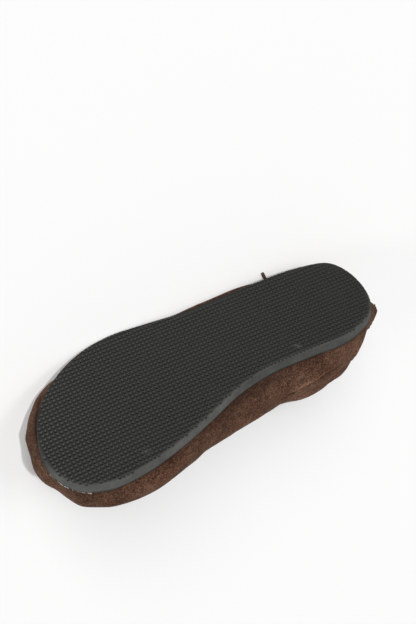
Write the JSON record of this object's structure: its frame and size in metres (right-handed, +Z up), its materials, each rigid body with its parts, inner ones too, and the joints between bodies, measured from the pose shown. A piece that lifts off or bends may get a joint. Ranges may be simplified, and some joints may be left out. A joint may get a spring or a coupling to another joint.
{
  "type": "laced peasant shoe",
  "caption": "Left laced shoe lying on its outer side: soft one-piece suede upper with a raised heel seam, tongue, insole and leather lace, on a thin flat rubber sole with a fine waffle tread.",
  "frame": {"origin": "on the floor under the centre of the shoe's box, without the loose end of its lace", "axes": "+X from heel to toe, +Z up from the floor that the shoe lies on, +Y from the sole towards the collar"},
  "size_m": [0.301, 0.0988, 0.1084],
  "materials": {
    "outsole": "matt black moulded rubber",
    "upper": "brown suede with a fine nap",
    "heel_seam": "brown suede with raw edges",
    "insole": "plain tan leather",
    "tongue": "brown suede",
    "lace_crossings": "brown leather thong",
    "lace_end": "brown leather thong"
  },
  "bodies": {
    "root": {"outsole": "outsole", "upper": "upper", "heel_seam": "heel_seam", "insole": "insole", "tongue": "tongue", "lace_crossings": "lace_crossings", "lace_end": "lace_end"}
  },
  "joints": []
}
